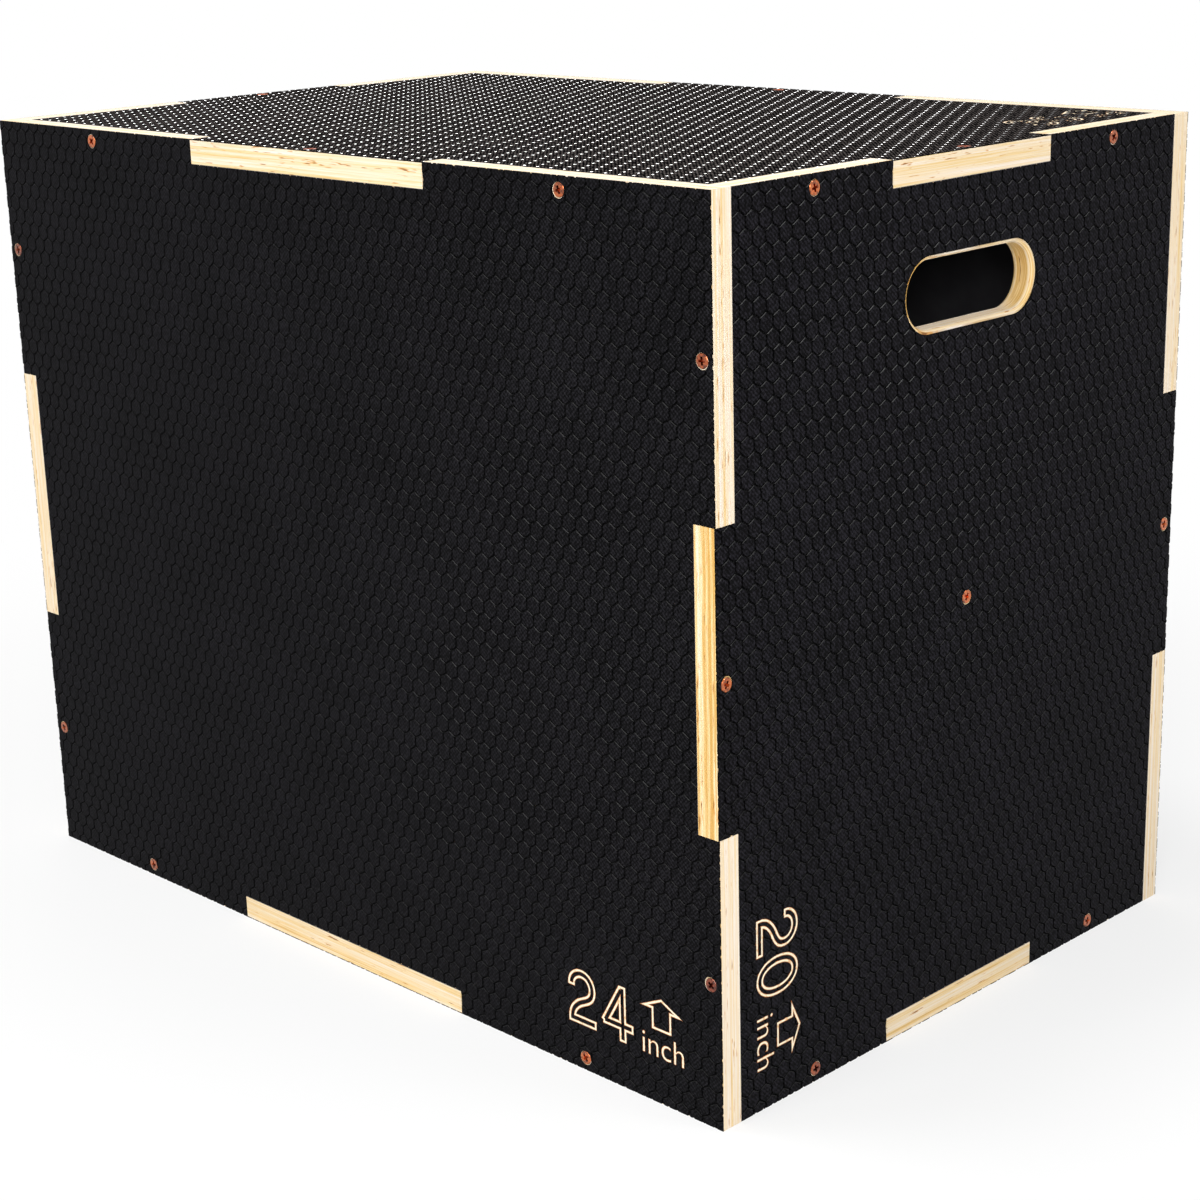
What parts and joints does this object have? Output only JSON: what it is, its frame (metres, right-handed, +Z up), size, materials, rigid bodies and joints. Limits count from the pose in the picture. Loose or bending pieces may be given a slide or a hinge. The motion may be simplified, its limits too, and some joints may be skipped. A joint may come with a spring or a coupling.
{
  "type": "plyo box",
  "caption": "Closed jump box of finger-jointed, film-faced plywood boards with a hand slot in each end; stands on any face to give three step heights.",
  "frame": {"origin": "middle of the underside, on the floor", "axes": "+X along the longest side, towards the right board; +Y from the front board to the back board; +Z up"},
  "size_m": [0.762, 0.508, 0.6096],
  "materials": {
    "plywood": "raw sawn plywood edge",
    "hexagon_film": "black film embossed with hexagons",
    "smooth_film": "smooth dark film",
    "screw_plating": "copper-coloured plating on steel"
  },
  "bodies": {
    "root": {"front_board": "plywood", "front_outer_film": "hexagon_film", "front_inner_film": "smooth_film", "front_screws": "screw_plating", "back_board": "plywood", "back_outer_film": "hexagon_film", "back_inner_film": "smooth_film", "back_screws": "screw_plating", "right_board": "plywood", "right_outer_film": "hexagon_film", "right_inner_film": "smooth_film", "right_screws": "screw_plating", "left_board": "plywood", "left_outer_film": "hexagon_film", "left_inner_film": "smooth_film", "left_screws": "screw_plating", "top_board": "plywood", "top_outer_film": "hexagon_film", "top_inner_film": "smooth_film", "top_screws": "screw_plating", "bottom_board": "plywood", "bottom_outer_film": "hexagon_film", "bottom_inner_film": "smooth_film", "bottom_screws": "screw_plating", "brace_board": "plywood", "brace_front_film": "hexagon_film", "brace_back_film": "smooth_film"}
  },
  "joints": []
}
